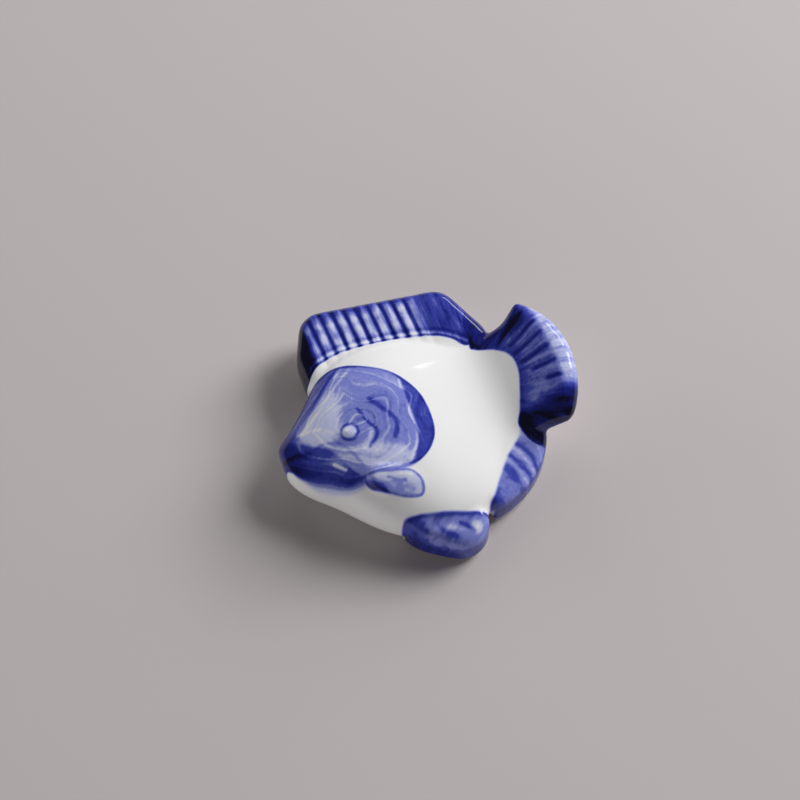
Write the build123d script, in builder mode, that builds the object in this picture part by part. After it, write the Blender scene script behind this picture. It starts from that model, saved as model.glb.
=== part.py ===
from build123d import *
import os

# Porcelain chopstick rest: a deep-bodied fish lying on its side, saddle between head and tail.
# Frame: +X towards the tail, +Y towards the back (dorsal side), +Z up, table at Z = 0. Millimetres.

# Cross-sections of head, trunk and tail, from the snout to the tail rim:
# place along the fish, belly and back edges, underside, heights of the two edges, top, squareness
snout = dict(x=-26.0, belly=-3.0, back=2.2,
             under=4.8, belly_edge=6.2, back_edge=6.2, top=7.8, fullness=0.60)
lips = dict(x=-24.6, belly=-6.0, back=3.8,
            under=3.2, belly_edge=5.9, back_edge=5.9, top=9.4, fullness=0.60)
cheek = dict(x=-20.0, belly=-10.4, back=8.2,
             under=0.9, belly_edge=5.4, back_edge=5.4, top=12.0, fullness=0.60)
brow = dict(x=-14.0, belly=-16.8, back=14.8,
            under=-1.2, belly_edge=5.2, back_edge=5.2, top=13.7, fullness=0.60)
nape = dict(x=-7.0, belly=-21.0, back=17.6,
            under=-2.0, belly_edge=5.0, back_edge=5.0, top=13.8, fullness=0.60)
shoulder = dict(x=0.0, belly=-21.4, back=17.8,
                under=-2.0, belly_edge=5.0, back_edge=5.0, top=12.0, fullness=0.60)
flank = dict(x=5.5, belly=-19.0, back=16.6,
             under=-1.6, belly_edge=4.8, back_edge=4.8, top=10.1, fullness=0.60)
saddle = dict(x=10.5, belly=-13.6, back=14.2,
              under=-0.6, belly_edge=4.6, back_edge=4.8, top=8.9, fullness=0.60)
tail_root = dict(x=16.0, belly=-9.0, back=12.4,
                 under=1.2, belly_edge=5.0, back_edge=6.4, top=9.6, fullness=0.72)
tail_blade = dict(x=21.0, belly=-9.8, back=13.8,
                  under=5.6, belly_edge=8.2, back_edge=10.6, top=12.4, fullness=0.64)
tail_end = dict(x=27.6, belly=-9.9, back=13.9,
                under=10.0, belly_edge=12.2, back_edge=13.4, top=15.0, fullness=0.64)

# Tail rim, turned about an axis square to the raised blade, and the rays pressed into the blade
rim_x = 26.9
rim_y = 2.2
rim_z = 12.4
rim_radius = 18.2
rim_round = 2.6
rim_sweep = 55.0
rim_corner = 2.8
rim_margin = 0.4
blade_slope = 30.0
tail_ray_count = 6
tail_ray_pitch = 9.9
tail_ray_first = -18.5
tail_ray_centre_x = 6.0
tail_ray_inner = 12.0
ray_width = 0.7
ray_depth = 0.4

# Mask of the head, let into the trunk down to a flat floor
mask_floor = 5.6
eye_x = -14.5
eye_y = -2.3
eye_radius = 1.45
eye_proud = 0.55
crease_width = 0.6
crease_depth = 0.3
mask_plan = dict(crown_x=-19.6, crown_y=9.0, nape_x=-13.0, nape_y=12.2, cheek_x=-3.1, cheek_y=6.7,
                 rear_x=-0.2, rear_y=-2.0, gill_x=-3.4, gill_y=-9.8, petal_x=-11.0, petal_y=-12.2,
                 jaw_x=-18.6, jaw_y=-10.6, chin_x=-23.4, chin_y=-6.8, lip_x=-26.4, lip_y=-1.2)
mouth_plan = dict(front_x=-27.0, front_y=0.6, lip_x=-24.2, lip_y=-0.4,
                  bend_x=-22.3, bend_y=-1.2, end_x=-21.2, end_y=-2.7)
gill_plan = dict(top_x=-11.8, top_y=2.4, bend_x=-10.3, bend_y=-3.6, end_x=-13.2, end_y=-7.0)

# Fins round the edge of the trunk: floor, two heights of the sloping top, rounding of the edge,
# plan outline, and the inner and outer points between which the top slopes
dorsal_floor = 3.2
dorsal_front_top = 10.0
dorsal_rear_top = 7.5
dorsal_round = 2.8
dorsal_corner = 4.4
dorsal_ray_count = 10
dorsal_ray_first = -13.0
dorsal_ray_pitch = 2.17
dorsal_plan = dict(heel_x=-17.4, heel_y=9.0, front_x=-17.3, front_y=18.5, crest_x=-13.9, crest_y=26.5,
                   rear_x=12.0, rear_y=24.6, tip_x=17.4, tip_y=12.6, root_x=12.0, root_y=7.0)
dorsal_slope = dict(inner_x=-14.0, inner_y=26.0, outer_x=12.0, outer_y=11.0)
anal_floor = 0.9
anal_inner_top = 7.2
anal_outer_top = 4.6
anal_round = 2.0
anal_plan = dict(front_x=5.2, front_y=-20.0, rim_x=14.2, rim_y=-15.6, rear_x=19.0, rear_y=-8.6,
                 root_x=14.5, root_y=-6.5, heel_x=4.0, heel_y=-15.0)
anal_slope = dict(inner_x=10.0, inner_y=-12.5, outer_x=14.6, outer_y=-16.6)
pelvic_floor = 0.9
pelvic_inner_top = 8.5
pelvic_outer_top = 6.2
pelvic_round = 2.2
pelvic_plan = dict(heel_x=-10.8, heel_y=-17.6, front_x=-9.2, front_y=-20.6, side_x=-5.6, side_y=-23.4,
                   tip_x=-1.2, tip_y=-25.2, rear_x=2.8, rear_y=-22.8, root_x=2.0, root_y=-18.0)
pelvic_slope = dict(inner_x=-4.0, inner_y=-19.0, outer_x=-2.6, outer_y=-25.0)

# Pectoral fin, a petal pressed into the flank behind the jaw
petal_length = 10.2
petal_width = 5.4
petal_depth = 2.6
petal_round = 0.9
petal_x = -9.9
petal_y = -13.3
petal_z = 12.6
petal_turn = -33.0
petal_dip = 26.0

# Unglazed foot rim and the shallow hollow inside it
foot_height = 1.0
hollow_length = 24.0
hollow_width = 22.0
hollow_x = -3.0
hollow_y = -2.2

# Room that the cutting shapes reach past the fish
tall = 20.0
far = 40.0
overrun = 8.0


def quarter(start, corner, end, fullness):
    """A quarter of a cross-section: leaves start towards the corner and lands on end from it."""
    start, corner, end = Vector(*start), Vector(*corner), Vector(*end)
    Bezier(start, start + (corner - start) * fullness, end + (corner - end) * fullness, end)


def cross_section(row):
    """A rounded section through underside, back edge, top and belly edge."""
    fullness = row["fullness"]
    middle = (row["belly"] + row["back"]) / 2
    under, back = (middle, row["under"]), (row["back"], row["back_edge"])
    top, belly = (middle, row["top"]), (row["belly"], row["belly_edge"])
    quarter(under, (row["back"], row["under"]), back, fullness)
    quarter(back, (row["back"], row["top"]), top, fullness)
    quarter(top, (row["belly"], row["top"]), belly, fullness)
    quarter(belly, (row["belly"], row["under"]), under, fullness)


def at(plan, name):
    """A named point of a plan outline."""
    return (plan[name + "_x"], plan[name + "_y"])


def sloped_block(slope, floor, inner_top, outer_top):
    """A long block whose top falls from the inner point of a fin to its outer point."""
    inner = Vector(*at(slope, "inner"))
    outward = Vector(*at(slope, "outer")) - inner
    run = outward.length
    fall = (outer_top - inner_top) / run
    with BuildPart() as block:
        with BuildSketch(Plane(origin=inner, x_dir=outward, z_dir=outward.cross(Vector(0, 0, 1)))):
            end = run + overrun
            low, high = outer_top + fall * overrun, inner_top - fall * far
            Polygon((-far, floor), (end, floor), (end, low), (-far, high), align=None)
        extrude(amount=far, both=True)
    return block.part


# Head and trunk as one smooth form that ends where the tail begins, cut flat where it stands
with BuildPart() as trunk:
    for row in (snout, lips, cheek, brow, nape, shoulder, flank, saddle, tail_root, tail_blade):
        with BuildSketch(Plane(origin=(row["x"], 0, 0), x_dir=(0, 1, 0), z_dir=(1, 0, 0))):
            with BuildLine():
                cross_section(row)
            make_face()
    loft()
    split(bisect_by=Plane.YZ.offset(tail_root["x"]), keep=Keep.BOTTOM)
    split(bisect_by=Plane.XY, keep=Keep.TOP)

# Solid of revolution that gives the tail its round rim
blade_out = Vector(1, 0, 0).rotate(Axis.Y, -blade_slope)
blade_up = Vector(0, 0, 1).rotate(Axis.Y, -blade_slope)
rim_centre = Vector(rim_x, rim_y, rim_z) - blade_out * rim_radius
with BuildPart() as rim:
    with BuildSketch(Plane(origin=rim_centre, x_dir=blade_out, z_dir=(0, -1, 0))):
        with BuildLine():
            edge = CenterArc((rim_radius - rim_round, 0), rim_round, -rim_sweep, 2 * rim_sweep)
            Polyline(edge @ 1, (0, tall), (0, -tall), edge @ 0)
        make_face()
    revolve(axis=Axis(rim_centre, blade_up))

# Plan of the tail with its two rounded corners, a little wider than the rim elsewhere
with BuildPart() as tail_plan:
    with BuildSketch() as fan:
        with Locations((rim_centre.X, rim_y)):
            Ellipse(rim_x - rim_centre.X + rim_margin, rim_radius + rim_margin)
        with Locations((saddle["x"], (tail_end["belly"] + tail_end["back"]) / 2)):
            fan_width = tail_end["back"] - tail_end["belly"] + rim_margin
            Rectangle(far, fan_width, align=(Align.MIN, Align.CENTER), mode=Mode.INTERSECT)
        fillet(fan.vertices().sort_by(Axis.X)[-2:], radius=rim_corner)
    extrude(amount=tall)

# Tail blade, running on from the trunk and rising to its rim
with BuildPart() as blade:
    for row in (saddle, tail_root, tail_blade, tail_end):
        with BuildSketch(Plane(origin=(row["x"], 0, 0), x_dir=(0, 1, 0), z_dir=(1, 0, 0))):
            with BuildLine():
                cross_section(row)
            make_face()
    loft()
    split(bisect_by=Plane.YZ.offset(tail_root["x"]), keep=Keep.TOP)
    add(rim.part, mode=Mode.INTERSECT)
    add(tail_plan.part, mode=Mode.INTERSECT)

# Grooves between the tail rays, an even depth under the blade's top
with BuildPart() as tail_grooves:
    for number in range(tail_ray_count):
        turn = tail_ray_first + tail_ray_pitch * number
        with Locations(Location((tail_ray_centre_x, rim_y, 0), (0, 0, turn))):
            Box(far, ray_width, tall, align=(Align.MIN, Align.CENTER, Align.MIN))
    with Locations((tail_ray_centre_x, rim_y)):
        Cylinder(tail_ray_inner, tall, align=(Align.CENTER, Align.CENTER, Align.MIN), mode=Mode.SUBTRACT)
    add(blade.part.moved(Location((0, 0, -ray_depth))), mode=Mode.SUBTRACT)
with BuildPart() as tail_fin:
    add(blade.part)
    add(tail_grooves.part, mode=Mode.SUBTRACT)

# Pectoral petal, standing square to the flank it is pressed into
petal_normal = Vector(0, 0, 1).rotate(Axis.X, petal_dip)
petal_along = Vector(1, 0, 0).rotate(Axis.Z, petal_turn)
petal_along = petal_along - petal_normal * petal_along.dot(petal_normal)
with BuildPart() as pectoral_fin:
    with BuildSketch(Plane(origin=(petal_x, petal_y, petal_z), x_dir=petal_along, z_dir=petal_normal)):
        Ellipse(petal_length / 2, petal_width / 2)
    extrude(amount=-petal_depth)
    fillet(pectoral_fin.faces().sort_by(Axis.Z)[-1].edges(), radius=petal_round)

# Bead of the eye, sunk in its socket
with BuildPart() as eye:
    with Locations((eye_x, eye_y, brow["top"] + eye_proud - eye_radius)):
        Sphere(eye_radius)

# Plan of the blue mask: round behind, down along the jaw, open past the snout
with BuildPart() as mask_zone:
    with BuildSketch(Plane.XY.offset(mask_floor)):
        with BuildLine():
            names = ("crown", "nape", "cheek", "rear", "gill", "petal", "jaw", "chin", "lip")
            mask = Spline(*[at(mask_plan, name) for name in names])
            Polyline(mask @ 1, (-far, 0), (-far, tall), mask @ 0)
        make_face()
    extrude(amount=tall)

# Mouth slit and gill crease, drawn in plan and cut to an even depth
with BuildPart() as creases:
    with BuildSketch():
        with BuildLine():
            Spline(*[at(mouth_plan, name) for name in ("front", "lip", "bend", "end")])
        trace(line_width=crease_width)
        with BuildLine():
            Spline(*[at(gill_plan, name) for name in ("top", "bend", "end")])
        trace(line_width=crease_width)
    extrude(amount=tall)
    add(trunk.part.moved(Location((0, 0, -crease_depth))), mode=Mode.SUBTRACT)

with BuildPart() as head:
    add(trunk.part)
    add(mask_zone.part, mode=Mode.INTERSECT)
    add(creases.part, mode=Mode.SUBTRACT)
    add(eye.part, mode=Mode.SUBTRACT)
    add(pectoral_fin.part, mode=Mode.SUBTRACT)

# White trunk above the foot rim, with the pocket for the head and the socket of the petal
with BuildPart() as body:
    add(trunk.part)
    split(bisect_by=Plane.XY.offset(foot_height), keep=Keep.TOP)
    add(mask_zone.part, mode=Mode.SUBTRACT)
    add(pectoral_fin.part, mode=Mode.SUBTRACT)

with BuildPart() as foot_rim:
    add(trunk.part)
    split(bisect_by=Plane.XY.offset(foot_height), keep=Keep.BOTTOM)
    with BuildSketch():
        with Locations((hollow_x, hollow_y)):
            Ellipse(hollow_length / 2, hollow_width / 2)
    extrude(amount=foot_height, mode=Mode.SUBTRACT)

# Dorsal fin: a long ridge with rounded corners, grooved across between its rays
with BuildPart() as dorsal_blank:
    with BuildSketch():
        with BuildLine():
            names = ("heel", "front", "crest", "rear", "tip", "root")
            ridge = FilletPolyline(*[at(dorsal_plan, name) for name in names], radius=dorsal_corner)
            Line(ridge @ 1, ridge @ 0)
        make_face()
    extrude(amount=tall)
dorsal_block = sloped_block(dorsal_slope, dorsal_floor, dorsal_front_top, dorsal_rear_top)
with BuildPart() as dorsal_ridge:
    add(dorsal_blank.part)
    add(dorsal_block, mode=Mode.INTERSECT)
    crest = dorsal_ridge.faces().sort_by(Axis.Z)[-1]
    fillet(crest.edges().filter_by_position(Axis.Y, dorsal_slope["outer_y"], far), radius=dorsal_round)
with BuildPart() as dorsal_grooves:
    for number in range(dorsal_ray_count):
        with Locations((dorsal_ray_first + number * dorsal_ray_pitch, 0)):
            Box(ray_width, far, tall, align=(Align.CENTER, Align.MIN, Align.MIN))
    add(dorsal_ridge.part.moved(Location((0, 0, -ray_depth))), mode=Mode.SUBTRACT)
with BuildPart() as dorsal_fin:
    add(dorsal_ridge.part)
    add(dorsal_grooves.part, mode=Mode.SUBTRACT)
    add(trunk.part, mode=Mode.SUBTRACT)
    add(blade.part, mode=Mode.SUBTRACT)

# Anal fin: a leaf along the lower edge in front of the tail
anal_block = sloped_block(anal_slope, anal_floor, anal_inner_top, anal_outer_top)
with BuildPart() as anal_fin:
    with BuildSketch():
        with BuildLine():
            leaf = ThreePointArc(at(anal_plan, "front"), at(anal_plan, "rim"), at(anal_plan, "rear"))
            Polyline(leaf @ 1, at(anal_plan, "root"), at(anal_plan, "heel"), leaf @ 0)
        make_face()
    extrude(amount=tall)
    add(anal_block, mode=Mode.INTERSECT)
    fillet(anal_fin.faces().sort_by(Axis.Z)[-1].edges().sort_by(SortBy.LENGTH)[-1], radius=anal_round)
    add(trunk.part, mode=Mode.SUBTRACT)
    add(blade.part, mode=Mode.SUBTRACT)

# Pelvic fin: a petal under the belly
pelvic_block = sloped_block(pelvic_slope, pelvic_floor, pelvic_inner_top, pelvic_outer_top)
with BuildPart() as pelvic_fin:
    with BuildSketch():
        with BuildLine():
            names = ("heel", "front", "side", "tip", "rear", "root")
            lobe = Spline(*[at(pelvic_plan, name) for name in names])
            Line(lobe @ 1, lobe @ 0)
        make_face()
    extrude(amount=tall)
    add(pelvic_block, mode=Mode.INTERSECT)
    fillet(pelvic_fin.faces().sort_by(Axis.Z)[-1].edges().sort_by(SortBy.LENGTH)[-1], radius=pelvic_round)
    add(trunk.part, mode=Mode.SUBTRACT)

# The origin goes under the middle of the whole rest
pieces = (body, head, eye, pectoral_fin, dorsal_fin, tail_fin, anal_fin, pelvic_fin, foot_rim)
middle = Compound([piece.part for piece in pieces]).bounding_box().center()
for piece in pieces:
    piece.part = piece.part.moved(Location((-middle.X, -middle.Y, 0)))

os.makedirs("parts", exist_ok=True)
body.part.label = "body"
export_step(body.part, "parts/body.step")
head.part.label = "head"
export_step(head.part, "parts/head.step")
eye.part.label = "eye"
export_step(eye.part, "parts/eye.step")
pectoral_fin.part.label = "pectoral_fin"
export_step(pectoral_fin.part, "parts/pectoral_fin.step")
dorsal_fin.part.label = "dorsal_fin"
export_step(dorsal_fin.part, "parts/dorsal_fin.step")
tail_fin.part.label = "tail_fin"
export_step(tail_fin.part, "parts/tail_fin.step")
anal_fin.part.label = "anal_fin"
export_step(anal_fin.part, "parts/anal_fin.step")
pelvic_fin.part.label = "pelvic_fin"
export_step(pelvic_fin.part, "parts/pelvic_fin.step")
foot_rim.part.label = "foot_rim"
export_step(foot_rim.part, "parts/foot_rim.step")
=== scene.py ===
import math
import bpy
import numpy as np
from mathutils import Matrix, Vector, kdtree, noise


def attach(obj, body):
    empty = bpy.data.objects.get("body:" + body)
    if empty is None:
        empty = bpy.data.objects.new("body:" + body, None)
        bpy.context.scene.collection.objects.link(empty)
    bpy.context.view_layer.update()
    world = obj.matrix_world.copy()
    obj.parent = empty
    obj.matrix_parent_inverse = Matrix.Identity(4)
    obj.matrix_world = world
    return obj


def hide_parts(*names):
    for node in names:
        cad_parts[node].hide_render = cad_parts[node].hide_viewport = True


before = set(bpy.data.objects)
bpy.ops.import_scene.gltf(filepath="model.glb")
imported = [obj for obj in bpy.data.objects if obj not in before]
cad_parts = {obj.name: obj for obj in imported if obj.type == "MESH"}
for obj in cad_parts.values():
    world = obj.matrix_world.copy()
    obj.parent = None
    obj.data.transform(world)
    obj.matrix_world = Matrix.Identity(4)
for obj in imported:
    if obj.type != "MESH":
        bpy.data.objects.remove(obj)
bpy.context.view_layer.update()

MM_PER_M = 1000

# Skin in metres: grain of the remeshed porcelain, and depth of the glaze that pools in its grooves
GRAIN = 0.00025
POOL = 0.0003
MERGE_DISTANCE = 1e-6

# Smoothing: share of each step, then steps before the glaze pools, all over, along the rims,
# on the crest of the tail and round the eye
SMOOTHING = 0.5
SETTLE_STEPS = 3
SOFTEN_STEPS = 20
RIM_STEPS = 40
CREST_STEPS = 90
EYE_STEPS = 30

# Where the glaze softens more, in mm in plan: from no share to all of it
TAIL_CREST = (21.2, 22.8)
PECTORAL_BORDER = (-1.8, -0.6)
DORSAL_RIM_REACH = 2.4
DORSAL_RIM_FADE = 1.2
EYE_REACH = 2.8
EYE_FADE = 0.8

# The skin is parted along the solids, each made a little larger so that it holds its share of the skin
CELL_GRAIN = 0.0004
CELL_ROOM = 0.00035
CELL_STEPS = 1

# Camera as in the photo: degrees above the table, turn of the fish, lens, and the place looked at in mm
VIEW_HEIGHT = 58.0
FISH_TURN = 20.0
LENS = 100.0
SENSOR = 36.0
NEAR_CLIP = 0.01
PIXELS_PER_MM = 5.75
PHOTO_WIDTH = 800.0
LOOK_PIXEL = (430.0, 432.0)
LOOK_X = 0.486
LOOK_Y = 0.33

# Width of the table in metres, and the faint light of the room
TABLE = 12.0
ROOM_LIGHT = 0.06

# Colours as they look, sRGB
WHITE = "E6E5E5"
BARE_CLAY = "D9D0C3"
BARE_CLAY_DARK = "BDB09F"
FLOOR = "C0B9B9"
ROOM = "FFFFFF"
COBALT_STEPS = ((0.0, WHITE), (0.2, "C0C5E6"), (0.42, "7880C8"),
                (0.6, "3842A2"), (0.78, "1B227C"), (1.0, "080724"))

# Grit of the bare clay in mm, drawn coarser than it is so that it shows, and its height in metres
CLAY_GRIT = 0.714
CLAY_RELIEF = 0.0001


def linear(code):
    """An sRGB hex colour as linear RGBA."""
    parts = [int(code[i:i + 2], 16) / 255 for i in (0, 2, 4)]
    parts = [c / 12.92 if c <= 0.04045 else ((c + 0.055) / 1.055) ** 2.4 for c in parts]
    return (*parts, 1.0)


def add_node(tree, kind, settings, links):
    """A shader node with its settings by name, and the outputs that feed its sockets."""
    node = tree.nodes.new(kind)
    for key, value in settings.items():
        if key in node.inputs:
            node.inputs[key].default_value = value
        else:
            setattr(node, key, value)
    for key, source in links.items():
        tree.links.new(source, node.inputs[key])
    return node


def step(value, low, high):
    """0 below low, 1 above high, smooth between."""
    t = np.clip((value - low) / (high - low), 0, 1)
    return t * t * (3 - 2 * t)


def bell(value, middle, width):
    """1 at the middle, fading over the width on both sides."""
    return np.exp(-((value - middle) / width) ** 2)


def curve(points, closed=False, per_span=8):
    """Points of a smooth line through the given points."""
    p = np.array(points, float)
    if closed:
        p = np.vstack([p[-1], p, p[0], p[1]])
    else:
        p = np.vstack([2 * p[0] - p[1], p, 2 * p[-1] - p[-2]])
    out = []
    for a, b, c, d in zip(p, p[1:], p[2:], p[3:]):
        bend = 2 * a - 5 * b + 4 * c - d
        twist = 3 * b - a - 3 * c + d
        for t in np.arange(per_span) / per_span:
            out.append(0.5 * (2 * b + (c - a) * t + bend * t ** 2 + twist * t ** 3))
    if not closed:
        out.append(p[-2])
    return np.array(out)


def away(xy, line, closed=False):
    """Distance from each place to a line of points."""
    ends = np.roll(line, -1, axis=0)
    starts = line if closed else line[:-1]
    ends = ends if closed else ends[:-1]
    best = np.full(len(xy), 1e9)
    for a, b in zip(starts, ends):
        ab = b - a
        t = np.clip(((xy - a) @ ab) / max(ab @ ab, 1e-12), 0, 1)
        best = np.minimum(best, np.hypot(*(xy - a - t[:, None] * ab).T))
    return best


def within(xy, outline):
    """Distance to an outline, above 0 inside it and below 0 outside."""
    hit = np.zeros(len(xy), bool)
    for a, b in zip(outline, np.roll(outline, -1, axis=0)):
        crosses = (a[1] > xy[:, 1]) != (b[1] > xy[:, 1])
        rise = b[1] - a[1] if b[1] != a[1] else 1e-12
        hit ^= crosses & (xy[:, 0] < (b[0] - a[0]) * (xy[:, 1] - a[1]) / rise + a[0])
    return np.where(hit, 1, -1) * away(xy, outline, True)


def speckle(u, v, w):
    """Smooth noise, about -1 to 1, at each set of three coordinates."""
    spots = np.stack(np.broadcast_arrays(u, v, w), 1)
    return np.array([noise.noise(spot) for spot in spots.tolist()])


# Outlines of the painted places, in mm in plan. A seam is the edge that a fin shares with the white trunk.
JAW_SEAM = [(-11.1, -12.7), (-17.1, -12.3), (-20.1, -10.7), (-22.9, -8.5), (-25.1, -5.7)]
JAW = curve(JAW_SEAM + [(-26.7, -3.1)])
MASK = curve([(-19.6, 8.5), (-16.7, 10.9), (-14.2, 11.8), (-11.7, 11.5), (-8.4, 9.8), (-4.9, 7.5),
              (-2.7, 5.0), (-1.0, 1.3), (-0.7, -3.0), (-1.3, -6.7), (-3.0, -9.4), (-5.1, -11.1),
              (-7.5, -12.1)] + JAW_SEAM + [(-26.5, -3.3), (-30.1, -0.1), (-27.1, 4.9), (-22.1, 6.9)], True)
# BROW outlines the middle of the head, which is painted paler as a reflection of the light
BROW = curve([(-12.1, 10.9), (-15.0, 8.2), (-18.7, 4.8), (-23.2, 0.7), (-22.0, -2.0), (-19.6, -4.1),
              (-17.7, -7.2), (-15.9, -10.5), (-11.0, -11.6), (-7.0, -11.4), (-4.6, -7.6), (-3.9, -2.7),
              (-3.8, 1.8), (-3.5, 5.7), (-6.5, 8.6)], True)
CHEEK = curve([(-15.3, 5.4), (-18.6, 3.9), (-22.6, 1.2), (-21.1, -2.3), (-17.4, -2.8), (-16.3, -0.7)], True)
GILL = curve([(-17.0, -4.4), (-14.9, -6.0), (-11.5, -6.8), (-8.4, -7.6), (-6.7, -10.4), (-10.8, -10.9),
              (-14.0, -9.6), (-15.8, -6.8)], True)
EYE = np.array((-15.1, -2.7))
DORSAL_SEAM = [(-18.0, 11.5), (-16.5, 12.9), (-14.7, 14.1), (-10.6, 15.3), (-6.4, 15.4), (-0.2, 15.1),
               (5.7, 14.1), (8.9, 12.5), (11.3, 10.3)]
DORSAL_CREASE = curve(DORSAL_SEAM)
DORSAL = curve(DORSAL_SEAM + [(17.9, 11.9), (17.9, 29.9), (-20.1, 29.9), (-20.1, 11.9)], True)
DORSAL_RIM = curve([(-17.7, 11.9), (-17.3, 18.3), (-14.0, 24.5), (-1.1, 24.5), (10.1, 23.1), (16.3, 12.5)])
TAIL_SEAM = [(11.3, 10.3), (11.9, 8.7), (14.5, 7.1), (16.5, 4.5), (16.7, 1.2), (15.6, -2.4), (14.4, -5.6),
             (13.5, -8.3)]
TAIL_EDGE = curve(TAIL_SEAM)
TAIL = curve(TAIL_SEAM + [(16.9, -12.1), (29.9, -12.1), (29.9, 17.9), (13.9, 17.9)], True)
ANAL_SEAM = [(14.1, -7.7), (12.5, -9.7), (9.5, -12.5), (7.1, -15.5), (4.9, -18.5), (3.3, -20.7)]
ANAL_EDGE = curve(ANAL_SEAM)
ANAL = curve(ANAL_SEAM + [(5.9, -24.1), (19.9, -20.1), (20.9, -8.1), (16.9, -7.5)], True)
PELVIC_SEAM = [(-11.6, -18.9), (-9.2, -19.0), (-6.6, -19.5), (-3.5, -20.0), (-0.7, -20.5), (1.5, -20.9)]
PELVIC_EDGE = curve(PELVIC_SEAM + [(3.1, -21.5)])
PELVIC = curve(PELVIC_SEAM + [(3.3, -21.5), (4.9, -24.1), (-0.1, -28.1), (-9.0, -26.6), (-12.7, -21.6)], True)
PECTORAL = curve([(-15.4, -11.1), (-13.5, -11.3), (-11.0, -11.8), (-7.9, -12.4), (-6.5, -14.2), (-6.6, -16.1),
                  (-7.6, -17.0), (-9.9, -16.5), (-13.0, -14.8), (-15.2, -12.9)], True)

# Cobalt that a plain stroke leaves, 0 to 1
DEPTH = dict(head=0.64, dorsal=0.62, tail=0.49, anal=0.46, pelvic=0.46, pectoral=0.24)
HEAD_THINNEST = 0.05

# How far a face may look down and still be painted: height of its normal, from bare to painted
HEAD_FACING = (-0.2, 0.12)
FIN_FACING = (-0.35, 0.05)
PELVIC_FACING = (-0.85, -0.4)

# Single strokes: cobalt added, or wiped off below 0, width, and the points that the stroke runs through
HEAD_STROKES = dict(
    brow=(-0.2, 0.4, [(-12.1, 10.9), (-15.0, 8.2), (-18.7, 4.8), (-22.9, 1.8)]),
    under_brow=(-0.14, 0.35, [(-11.0, 9.9), (-15.0, 6.6), (-18.6, 3.7), (-22.4, 0.9)]),
    snout_to_eye=(-0.14, 0.4, [(-22.9, 1.2), (-20.1, 0.4), (-17.8, -1.6)]),
    crescent=(-0.2, 0.28, [(-3.6, 4.9), (-4.0, -0.9), (-4.2, -5.4), (-5.1, -8.2), (-7.0, -10.6)]),
    gill=(0.26, 0.32, [(-12.4, 0.9), (-11.7, -1.9), (-10.8, -3.8), (-11.4, -5.3), (-12.9, -6.5)]),
    gill_light=(-0.14, 0.5, [(-11.6, -3.6), (-12.3, -5.2), (-13.6, -6.2)]),
    second_gill=(0.18, 0.4, [(-9.9, 2.1), (-8.3, -0.5), (-7.0, -3.4), (-8.2, -6.1)]),
    upper_jaw=(0.14, 0.3, [(-21.1, -2.9), (-19.5, -2.9), (-17.3, -4.1), (-15.9, -6.3), (-15.0, -8.7)]),
    mouth=(0.2, 0.6, [(-27.0, -1.1), (-25.2, -2.0), (-24.3, -2.2), (-22.6, -3.1)]),
    lower_jaw=(0.12, 1.5, [(-25.6, -4.6), (-23.4, -6.7), (-20.6, -8.6), (-17.4, -10.3)]),
    # A painted glint: a streak wiped nearly white where the light gleams on the jaw
    jaw_painted_glint=(-0.5, 0.26, [(-19.3, -6.8), (-17.8, -8.5)]),
)
PELVIC_STROKES = dict(
    front=(0.2, 0.5, [(-6.1, -21.8), (-5.2, -22.8), (-4.0, -23.8)]),
    back=(0.22, 0.4, [(-2.5, -22.1), (-1.6, -22.8), (-0.6, -23.7)]),
    light=(-0.14, 0.6, [(-7.6, -21.6), (-4.6, -22.3), (-2.2, -23.1)]),
)
PECTORAL_STROKES = dict(
    root=(0.3, 0.7, [(-15.3, -12.3), (-14.5, -13.3), (-13.2, -14.3)]),
    middle=(0.16, 0.7, [(-14.2, -12.9), (-11.6, -14.4), (-8.8, -15.4)]),
    fold=(0.2, 0.3, [(-11.9, -12.7), (-10.2, -13.8), (-9.2, -13.9)]),
    light=(-0.14, 0.5, [(-13.4, -11.9), (-11.0, -12.5), (-8.2, -13.2)]),
)

# Round touches: cobalt added, or wiped off below 0, middle, and half widths
HEAD_TOUCHES = dict(
    behind_eye=(0.1, (-9.2, 1.2), (3.2, 3.4)),
    jaw_light=(-0.12, (-18.6, -6.6), (2.4, 1.6)),
    chin_light=(-0.1, (-20.4, -9.0), (3.0, 1.5)),
    # A painted glint: a paler spot where the light gleams on the eye
    eye_painted_glint=(-0.2, (-15.5, -2.4), (0.5, 0.5)),
)
DORSAL_TOUCHES = dict(
    middle_light=(-0.1, (3.6, 18.3), (1.7, 2.2)),
    # A painted reflection: a paler patch on the sloped rear end, where the window mirrors
    end_painted_reflection=(-0.16, (14.4, 14.8), (1.1, 1.6)),
    end_shade=(0.1, (9.1, 17.2), (1.4, 2.6)),
    # Painted shade: darker in the valley between the rear of the dorsal fin and the tail
    root_painted_shade=(0.2, (12.0, 12.6), (1.4, 1.2)),
)
PELVIC_TOUCHES = dict(
    heel=(0.18, (-9.8, -20.8), (2.2, 1.8)),
    # A painted highlight: a pale spot near the tip, where the fin catches the window
    tip_painted_highlight=(-0.4, (0.0, -23.3), (0.9, 1.1)),
)
PECTORAL_TOUCHES = dict(
    # A painted highlight: a pale spot near the tip, where the raised fin catches the light
    tip_painted_highlight=(-0.12, (-8.0, -13.9), (0.9, 0.9)),
)

# Lines along the dorsal crease: distance from it, width, and cobalt added
CREASE_LINES = ((0.2, 0.3, 0.22), (0.8, 0.3, -0.2), (1.5, 0.4, 0.14))

# Rays of the dorsal fin: the first groove, the spacing, width and lean of the grooves
DORSAL_RAY_FIRST = -13.52
DORSAL_RAY_PITCH = 2.17
DORSAL_GROOVE = 0.44
DORSAL_RAY_LEAN = 0.05
DORSAL_RAY_MIDDLE = 20.0

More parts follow.
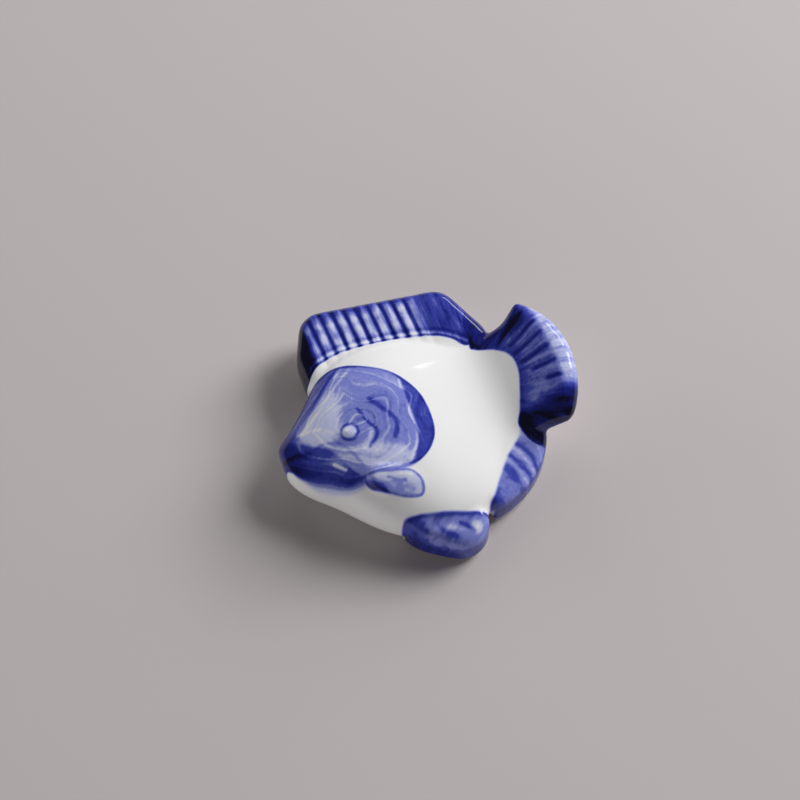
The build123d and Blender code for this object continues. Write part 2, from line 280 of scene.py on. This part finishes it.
# Rays of the tail: the place that they fan out from, then bearing in degrees, start and end of each
TAIL_FAN = (5.4, 1.6)
TAIL_RAYS = ((31.0, 11.0, 19.0), (21.0, 11.8, 18.8), (12.4, 11.6, 18.3), (2.0, 11.8, 18.0),
             (-8.0, 12.8, 18.3), (-17.5, 15.0, 18.6))
TAIL_RAY_WIDTH = 0.4
TAIL_RAY_FADE = 1.2

# Strokes across the anal fin: its heel and direction, then distance from the heel, width and cobalt of each
ANAL_HEEL = (3.9, -20.1)
ANAL_AXIS = (0.68, 0.73)
ANAL_STROKES = ((0.3, 1.6, 0.14), (6.6, 0.9, 0.14), (8.0, 0.6, -0.1), (9.3, 0.6, 0.12),
                (10.8, 0.6, -0.12), (12.0, 0.5, 0.14), (14.2, 0.7, -0.14))


def strokes_on(xy, strokes):
    """Cobalt of all single strokes at each place."""
    ink = np.zeros(len(xy))
    for strength, width, points in strokes.values():
        ink += strength * bell(away(xy, curve(points)), 0.0, width)
    return ink


def touches_on(xy, touches):
    """Cobalt of all round touches at each place."""
    ink = np.zeros(len(xy))
    for strength, middle, half in touches.values():
        ink += strength * np.exp(-(((xy - middle) / half) ** 2).sum(1))
    return ink


# In the washes below, a place in mm times a number is noise of that many changes per mm
def head_wash(xy, edge, grain):
    """Head: strokes laid along its outline, thin on the cheek and below the gill, paler in the middle as a
    painted reflection, with painted glints on the eye and jaw, darkest at the snout.
    """
    x, y = xy.T
    from_eye = np.hypot(*(xy - EYE).T)
    flow = edge + 3.0 * speckle(x * 0.17, y * 0.17, 11.0)
    contour = np.cos(2 * math.pi * (flow * 0.45 + 0.12 * speckle(x * 0.4, y * 0.4, 13.0)))
    dark_outline = bell(np.maximum(edge, 0), 0.0, 0.6) * step(away(xy, JAW), 1.0, 4.0)
    dark_snout = step(-x, 22.4, 25.6)
    eye_ring = bell(from_eye, 1.45, 0.24)
    eye_bead = step(1.35 - from_eye, 0.0, 0.4)
    wash = DEPTH["head"] + grain
    wash += 0.1 * speckle(flow * 0.9, x * 0.12, y * 0.12)
    wash += 0.07 * speckle(flow * 2.4, x * 0.2, y * 0.2 + 7.0)
    wash -= 0.13 * step(contour, 0.78, 1.0) * step(edge, 0.6, 2.0)
    # Painted reflection: the middle of the head is wiped paler where the glaze mirrors the light
    wash -= 0.23 * step(within(xy, BROW), -0.1, 0.5)
    wash -= 0.19 * step(within(xy, CHEEK), -1.6, 0.8)
    wash -= 0.17 * step(within(xy, GILL), -1.2, 0.8)
    wash += 0.1 * dark_outline + 0.2 * dark_snout + 0.26 * eye_ring - 0.16 * eye_bead
    wash += strokes_on(xy, HEAD_STROKES) + touches_on(xy, HEAD_TOUCHES)
    return np.maximum(wash, HEAD_THINNEST)


def dorsal_wash(xy, z, grain):
    """Dorsal fin: pale rays between dark grooves, a dark rim, a dark front end deepened as painted shade,
    lines along the crease, painted shade at its rear root and a painted reflection on its rear end.
    """
    x, y = xy.T
    to_crease = away(xy, DORSAL_CREASE)
    wave = (x + DORSAL_RAY_LEAN * (y - DORSAL_RAY_MIDDLE) - DORSAL_RAY_FIRST) / DORSAL_RAY_PITCH
    groove = bell((wave - np.round(wave)) * DORSAL_RAY_PITCH, 0.0, DORSAL_GROOVE)
    rayed = step(x, -16.4, -13.8) * step(7.0 - x, 0.0, 4.0)
    band = 20.4 + 1.2 * speckle(x * 0.5, 24.0, 25.0)
    pale = 0.48 - 0.12 * bell(y, band, 0.6) - 0.3 * step(y, 21.2, 23.4)
    pale *= 0.85 + 0.5 * speckle(x * 0.4, y * 0.5, 23.0)
    dark_rim = bell(away(xy, DORSAL_RIM), 0.0, 1.6)
    # Dark wash at the front end, deepened as painted shade on its unlit side
    front_wash_and_shade = step(-x, 13.4, 16.4)
    wash = DEPTH["dorsal"] + grain
    wash += 0.14 * speckle(x * 1.3, y * 0.22, z * 0.3 + 21.0)
    wash += 0.12 * speckle(x * 3.1, y * 0.35, z * 0.4 + 22.0)
    wash += rayed * (0.22 * groove - pale * (1 - groove))
    wash += 0.14 * dark_rim + 0.36 * front_wash_and_shade
    for distance, width, strength in CREASE_LINES:
        wash += strength * bell(to_crease, distance, width)
    return wash + touches_on(xy, DORSAL_TOUCHES)


def tail_wash(xy, grain):
    """Tail: dark root, painted shade on the lower wall, paler blade with dark ray lines, pale rim with a
    painted highlight on the crest.
    """
    x, y = xy.T
    reach = np.hypot(x - TAIL_FAN[0], y - TAIL_FAN[1])
    bearing = np.degrees(np.arctan2(y - TAIL_FAN[1], x - TAIL_FAN[0]))
    dark_root = bell(away(xy, TAIL_EDGE), 0.0, 1.4)
    # Paler along the crest: a thinner wash, and a painted highlight where the window gleams on the rim
    pale_rim_and_highlight = step(x, 22.2, 23.4) * step(y, -7.0, -3.0)
    # Painted shade: the lower wall of the tail, which faces away from the light, is darkened
    painted_shade_low_wall = step(-y, 4.8, 7.6)
    dark_top = step(y, 6.6, 10.0) * step(23.4 - x, 0.0, 4.0)
    wash = DEPTH["tail"] + grain
    wash += 0.13 * speckle(bearing * 0.35, reach * 0.22, 31.0)
    wash += 0.09 * speckle(bearing * 0.9, reach * 0.4, 32.0)
    for ray, inner, outer in TAIL_RAYS:
        across = np.radians(bearing - ray) * reach
        drawn = step(reach, inner, inner + TAIL_RAY_FADE) * step(outer - reach, 0.0, TAIL_RAY_FADE)
        wash += 0.34 * drawn * bell(across, 0.0, TAIL_RAY_WIDTH)
    wash += 0.24 * dark_root - 0.2 * pale_rim_and_highlight + 0.44 * painted_shade_low_wall + 0.36 * dark_top
    return wash


def anal_wash(xy, z, grain):
    """Anal fin: a few uneven strokes across it inside a dark outline, with painted shade low on its wall."""
    x, y = xy.T
    out, up = x - ANAL_HEEL[0], y - ANAL_HEEL[1]
    along = out * ANAL_AXIS[0] + up * ANAL_AXIS[1]
    across = out * ANAL_AXIS[1] - up * ANAL_AXIS[0]
    bowed = along + 0.12 * across ** 2 - 0.4 + 0.5 * speckle(x * 0.5, y * 0.5, 42.0)
    dark_outline = bell(away(xy, ANAL_EDGE), 0.0, 0.6) * step(6.0 - along, 0.0, 6.0)
    # Painted shade: darker low on the fin's wall, which faces away from the light
    painted_wall_shade = step(5.0 - z, 0.0, 1.4)
    wash = DEPTH["anal"] + grain + 0.1 * speckle(along * 1.2, across * 0.5, 41.0)
    for spot, width, strength in ANAL_STROKES:
        wash += strength * bell(bowed, spot, width)
    return wash + 0.2 * dark_outline + 0.24 * painted_wall_shade


def pelvic_wash(xy, z, grain):
    """Pelvic fin: strokes running outward inside a dark outline, with painted shade low on its wall and a
    painted highlight near the tip.
    """
    x, y = xy.T
    slant = x * 0.8 + y * 0.6
    width = y * 0.8 - x * 0.6
    dark_outline = bell(away(xy, PELVIC_EDGE), 0.0, 0.7)
    # Painted shade: darker low on the fin's wall, which faces away from the light
    painted_wall_shade = step(5.4 - z, 0.0, 2.2)
    wash = DEPTH["pelvic"] + 0.5 * grain
    wash += 0.12 * speckle(slant * 0.2, width * 0.9, z * 0.5)
    wash += 0.07 * speckle(slant * 0.3, width * 2.0, z)
    wash += 0.28 * dark_outline + 0.26 * painted_wall_shade
    return wash + strokes_on(xy, PELVIC_STROKES) + touches_on(xy, PELVIC_TOUCHES)


def pectoral_wash(xy, edge, grain):
    """Pectoral fin: a pale petal with a dark outline, a blue middle, one dark touch at its root and a painted
    highlight near its tip.
    """
    x, y = xy.T
    dark_outline = bell(edge, 0.15, 0.3)
    wash = DEPTH["pectoral"] + grain + 0.3 * dark_outline
    wash += 0.08 * speckle(x * 0.5 - y * 0.4, y * 1.5 + x * 0.8, 61.0)
    return wash + strokes_on(xy, PECTORAL_STROKES) + touches_on(xy, PECTORAL_TOUCHES)


def cobalt(place, up):
    """How much cobalt the brush left at each place of the skin, 0 to 1, with the painted highlights,
    reflections and shade of the washes worked in; up is the height of its normal.
    """
    xy = place[:, :2]
    x, y, z = place.T
    grain = 0.05 * speckle(x * 1.7, y * 1.7, z * 1.7) + 0.04 * speckle(x * 4.1, y * 4.1, z * 4.1)
    edge = within(xy, MASK)
    near_jaw = step(6.0 - away(xy, JAW), 0.0, 5.0) * step(x, -27.0, -20.0)
    soft = 0.25 + 1.3 * near_jaw
    ink = step(edge, -0.3 * soft, soft) * step(up, *HEAD_FACING) * head_wash(xy, edge, grain)
    fins = ((DORSAL, (-0.12, 0.3), FIN_FACING, dorsal_wash(xy, z, grain)),
            (TAIL, (-0.15, 0.35), FIN_FACING, tail_wash(xy, grain)),
            (ANAL, (-0.2, 0.5), FIN_FACING, anal_wash(xy, z, grain)),
            (PELVIC, (-0.15, 0.5), PELVIC_FACING, pelvic_wash(xy, z, grain)))
    for outline, fade, facing, wash in fins:
        ink = np.maximum(ink, step(within(xy, outline), *fade) * step(up, *facing) * wash)
    petal = within(xy, PECTORAL)
    cover = step(petal, -0.2, 0.2)
    ink = ink * (1 - cover) + cover * pectoral_wash(xy, petal, grain)
    return np.clip(ink, 0, 1)


def blank(name):
    """A new material with no nodes yet."""
    material = bpy.data.materials.new(name)
    material.use_nodes = True
    material.node_tree.nodes.clear()
    return material


# Glazed porcelain: white clay with brushed cobalt under a clear glossy glaze.
# The eye gets the uneven wash of the brush below a smooth coat with small sharp glints; a few more glints, a
# reflection and some shade are painted into the wash itself.
def glazed():
    material = blank("glazed_porcelain")
    tree = material.node_tree
    ink = add_node(tree, "ShaderNodeAttribute", {"attribute_name": "cobalt"}, {})
    ramp = add_node(tree, "ShaderNodeValToRGB", {}, {"Fac": ink.outputs["Fac"]})
    ramp.color_ramp.interpolation = "EASE"
    while len(ramp.color_ramp.elements) < len(COBALT_STEPS):
        ramp.color_ramp.elements.new(1.0)
    for element, (place, code) in zip(ramp.color_ramp.elements, COBALT_STEPS):
        element.position = place
        element.color = linear(code)
    glaze_values = {"Roughness": 0.32, "IOR": 1.5, "Specular IOR Level": 0.0, "Coat Weight": 1.0,
                    "Coat Roughness": 0.07, "Coat IOR": 1.55}
    surface = add_node(tree, "ShaderNodeBsdfPrincipled", glaze_values, {"Base Color": ramp.outputs["Color"]})
    add_node(tree, "ShaderNodeOutputMaterial", {}, {"Surface": surface.outputs["BSDF"]})
    return material


# Bare fired clay of the foot, rubbed clean of glaze before firing.
# The eye gets a dry, matte, finely grained edge where the glaze stops.
def bare():
    material = blank("bare_clay")
    tree = material.node_tree
    place = add_node(tree, "ShaderNodeTexCoord", {}, {})
    grit_values = {"Scale": MM_PER_M / CLAY_GRIT, "Detail": 4.0}
    grit = add_node(tree, "ShaderNodeTexNoise", grit_values, {"Vector": place.outputs["Object"]})
    ramp = add_node(tree, "ShaderNodeValToRGB", {}, {"Fac": grit.outputs["Fac"]})
    ramp.color_ramp.elements[0].color = linear(BARE_CLAY_DARK)
    ramp.color_ramp.elements[1].color = linear(BARE_CLAY)
    relief_values = {"Strength": 0.4, "Distance": CLAY_RELIEF}
    relief = add_node(tree, "ShaderNodeBump", relief_values, {"Height": grit.outputs["Fac"]})
    clay_links = {"Base Color": ramp.outputs["Color"], "Normal": relief.outputs["Normal"]}
    surface = add_node(tree, "ShaderNodeBsdfPrincipled", {"Roughness": 0.8}, clay_links)
    add_node(tree, "ShaderNodeOutputMaterial", {}, {"Surface": surface.outputs["BSDF"]})
    return material


# Matte pale plaster of the table: a plain quiet ground that takes the soft shadow
def plaster():
    material = blank("pale_table")
    tree = material.node_tree
    floor_values = {"Base Color": linear(FLOOR), "Roughness": 0.9, "Specular IOR Level": 0.1}
    surface = add_node(tree, "ShaderNodeBsdfPrincipled", floor_values, {})
    add_node(tree, "ShaderNodeOutputMaterial", {}, {"Surface": surface.outputs["BSDF"]})
    return material


def select_only(*pieces):
    bpy.ops.object.select_all(action="DESELECT")
    for piece in pieces:
        piece.select_set(True)
    bpy.context.view_layer.objects.active = pieces[0]


def copies_of(*names):
    """One object made of copies of the named nodes."""
    copies = []
    for name in names:
        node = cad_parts[name]
        copy = bpy.data.objects.new(name + "_copy", node.data.copy())
        copy.matrix_world = node.matrix_world
        bpy.context.scene.collection.objects.link(copy)
        copies.append(copy)
    select_only(*copies)
    bpy.ops.object.join()
    joined = bpy.context.view_layer.objects.active
    bpy.ops.object.transform_apply(location=True, rotation=True, scale=True)
    bpy.ops.object.mode_set(mode="EDIT")
    bpy.ops.mesh.select_all(action="SELECT")
    bpy.ops.mesh.remove_doubles(threshold=MERGE_DISTANCE)
    bpy.ops.object.mode_set(mode="OBJECT")
    return joined


def applied(piece, kind, **values):
    """One modifier added to the piece with its settings and applied."""
    select_only(piece)
    change = piece.modifiers.new(kind.lower(), kind)
    for key, value in values.items():
        setattr(change, key, value)
    bpy.ops.object.modifier_apply(modifier=change.name)


def softened(piece, grain, steps, pool):
    """The piece as one skin: glaze pools in its grooves and rounds its edges."""
    applied(piece, "REMESH", mode="VOXEL", voxel_size=grain)
    if pool:
        applied(piece, "SMOOTH", factor=SMOOTHING, iterations=SETTLE_STEPS)
        applied(piece, "DISPLACE", mid_level=0.0, strength=pool)
        applied(piece, "REMESH", mode="VOXEL", voxel_size=grain)
        applied(piece, "DISPLACE", mid_level=0.0, strength=-pool)
    applied(piece, "SMOOTH", factor=SMOOTHING, iterations=steps)
    bpy.ops.object.shade_smooth()
    return piece


def eased(piece, name, weights, steps):
    """More softening of one place of the skin, by a weight from 0 to 1 for each point."""
    group = piece.vertex_groups.new(name=name)
    for index in np.flatnonzero(weights > 0.01).tolist():
        group.add([index], float(weights[index]), "REPLACE")
    applied(piece, "SMOOTH", factor=SMOOTHING, iterations=steps, vertex_group=name)
    piece.vertex_groups.clear()


def carve(piece, cell, operation):
    applied(piece, "BOOLEAN", operation=operation, solver="MANIFOLD", object=cell)


def parted(skin, name):
    """Takes the share of one node out of the skin, as a piece of its own."""
    cell = softened(copies_of(name), CELL_GRAIN, CELL_STEPS, 0.0)
    applied(cell, "DISPLACE", mid_level=0.0, strength=CELL_ROOM)
    select_only(skin)
    bpy.ops.object.duplicate()
    share = bpy.context.view_layer.objects.active
    carve(share, cell, "INTERSECT")
    carve(skin, cell, "DIFFERENCE")
    bpy.data.objects.remove(cell)
    return share


def points_of(mesh, key):
    values = np.empty(len(mesh.vertices) * 3)
    mesh.vertices.foreach_get(key, values)
    return values.reshape(-1, 3)


# One skin over all nodes, softened as the glaze does it
SLOTS = dict(eye="cobalt_blue", pectoral_fin="cobalt_blue", dorsal_fin="cobalt_blue", anal_fin="cobalt_blue",
             pelvic_fin="cobalt_blue", tail_fin="cobalt_blue", head="cobalt_blue", foot_rim="bare_foot",
             body="white_glaze")
skin = softened(copies_of(*SLOTS), GRAIN, SOFTEN_STEPS, POOL)
plan = points_of(skin.data, "co")[:, :2] * MM_PER_M
near_dorsal_rim = step(DORSAL_RIM_REACH - away(plan, DORSAL_RIM), 0.0, DORSAL_RIM_FADE)
near_eye = step(EYE_REACH - np.hypot(*(plan - EYE).T), 0.0, EYE_FADE)
eased(skin, "tail_rim", step(plan[:, 0], *TAIL_CREST), CREST_STEPS)
eased(skin, "dorsal_rim", near_dorsal_rim, RIM_STEPS)
eased(skin, "pectoral", step(within(plan, PECTORAL), *PECTORAL_BORDER), RIM_STEPS)
eased(skin, "eye", near_eye, EYE_STEPS)

# Normals of the whole skin, which every piece takes over so that no seam shows
skin_points = points_of(skin.data, "co")
skin_normals = points_of(skin.data, "normal")
nearest = kdtree.KDTree(len(skin_points))
for index, point in enumerate(skin_points):
    nearest.insert(point, index)
nearest.balance()

# The skin parted into pieces, and each piece painted; the trunk is what is left of the skin
pieces = {name: parted(skin, name) for name in SLOTS if name != "body"}
pieces["body"] = skin
glaze = glazed()
for name, piece in pieces.items():
    piece.name = name + "_glazed"
    mesh = piece.data
    places = points_of(mesh, "co")
    normals = skin_normals[[nearest.find(point)[1] for point in places]]
    layer = mesh.attributes.new("cobalt", "FLOAT", "POINT")
    layer.data.foreach_set("value", cobalt(places * MM_PER_M, normals[:, 2]).astype(np.float32))
    mesh.normals_split_custom_set_from_vertices(normals.tolist())
    mesh.materials.clear()
    mesh.materials.append(bare() if name == "foot_rim" else glaze)
    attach(piece, "root")
    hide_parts(name)

# Table
bpy.ops.mesh.primitive_plane_add(size=TABLE, location=(0, 0, 0))
table = bpy.context.active_object
table.name = "table"
table.data.materials.append(plaster())

# Camera
lift, turn = math.radians(VIEW_HEIGHT), math.radians(FISH_TURN)
ahead = Vector((math.sin(turn) * math.cos(lift), math.cos(turn) * math.cos(lift), -math.sin(lift)))
right = Vector((math.cos(turn), -math.sin(turn), 0))
above = right.cross(ahead)
focal = PHOTO_WIDTH * LENS / SENSOR
distance = focal / PIXELS_PER_MM
shift_right = (LOOK_PIXEL[0] - PHOTO_WIDTH / 2) / focal * distance
shift_up = (PHOTO_WIDTH / 2 - LOOK_PIXEL[1]) / focal * distance
eye_place = Vector((LOOK_X, LOOK_Y, 0)) - shift_right * right - shift_up * above - distance * ahead
camera_data = bpy.data.cameras.new("camera")
camera_data.lens = LENS
camera_data.sensor_width = SENSOR
camera_data.clip_start = NEAR_CLIP
camera = bpy.data.objects.new("camera", camera_data)
camera_turn = Matrix((right, above, -ahead)).transposed().to_4x4()
camera.matrix_world = Matrix.Translation(eye_place / MM_PER_M) @ camera_turn
bpy.context.scene.collection.objects.link(camera)
bpy.context.scene.camera = camera


def soft_light(name, place, size, power, mirrored):
    """An area light aimed at the fish; place is right, away and up as the camera sees the table."""
    data = bpy.data.lights.new(name, "AREA")
    data.shape = "RECTANGLE"
    data.size = size[0]
    data.size_y = size[1]
    data.energy = power
    light = bpy.data.objects.new(name, data)
    flat = Vector((math.sin(turn), math.cos(turn), 0))
    spot = place[0] * right + place[1] * flat + Vector((0, 0, place[2]))
    light.visible_glossy = mirrored
    light.matrix_world = Matrix.Translation(spot) @ spot.to_track_quat("Z", "Y").to_matrix().to_4x4()
    bpy.context.scene.collection.objects.link(light)


# Studio light: a wide window from the right and behind, and pale cards round it.
# The glaze mirrors only two small panes of the window, as glints on the rims.
soft_light("window", (0.85, 0.55, 0.7), (0.7, 0.7), 17.0, False)
soft_light("pane", (0.52, 0.95, 0.36), (0.36, 0.2), 1.0, True)
soft_light("low_pane", (0.85, 0.55, 0.38), (0.22, 0.3), 1.5, True)
soft_light("left_card", (-0.9, 0.3, 0.18), (0.8, 0.34), 2.6, False)
soft_light("back_card", (0.05, 0.85, 0.5), (0.8, 0.5), 1.8, False)
soft_light("front_card", (-0.45, -0.9, 0.14), (1.8, 0.28), 3.9, False)
room = bpy.data.worlds.new("room")
room.use_nodes = True
room.node_tree.nodes["Background"].inputs["Color"].default_value = linear(ROOM)
room.node_tree.nodes["Background"].inputs["Strength"].default_value = ROOM_LIGHT
bpy.context.scene.world = room
bpy.context.scene.view_settings.view_transform = "Standard"
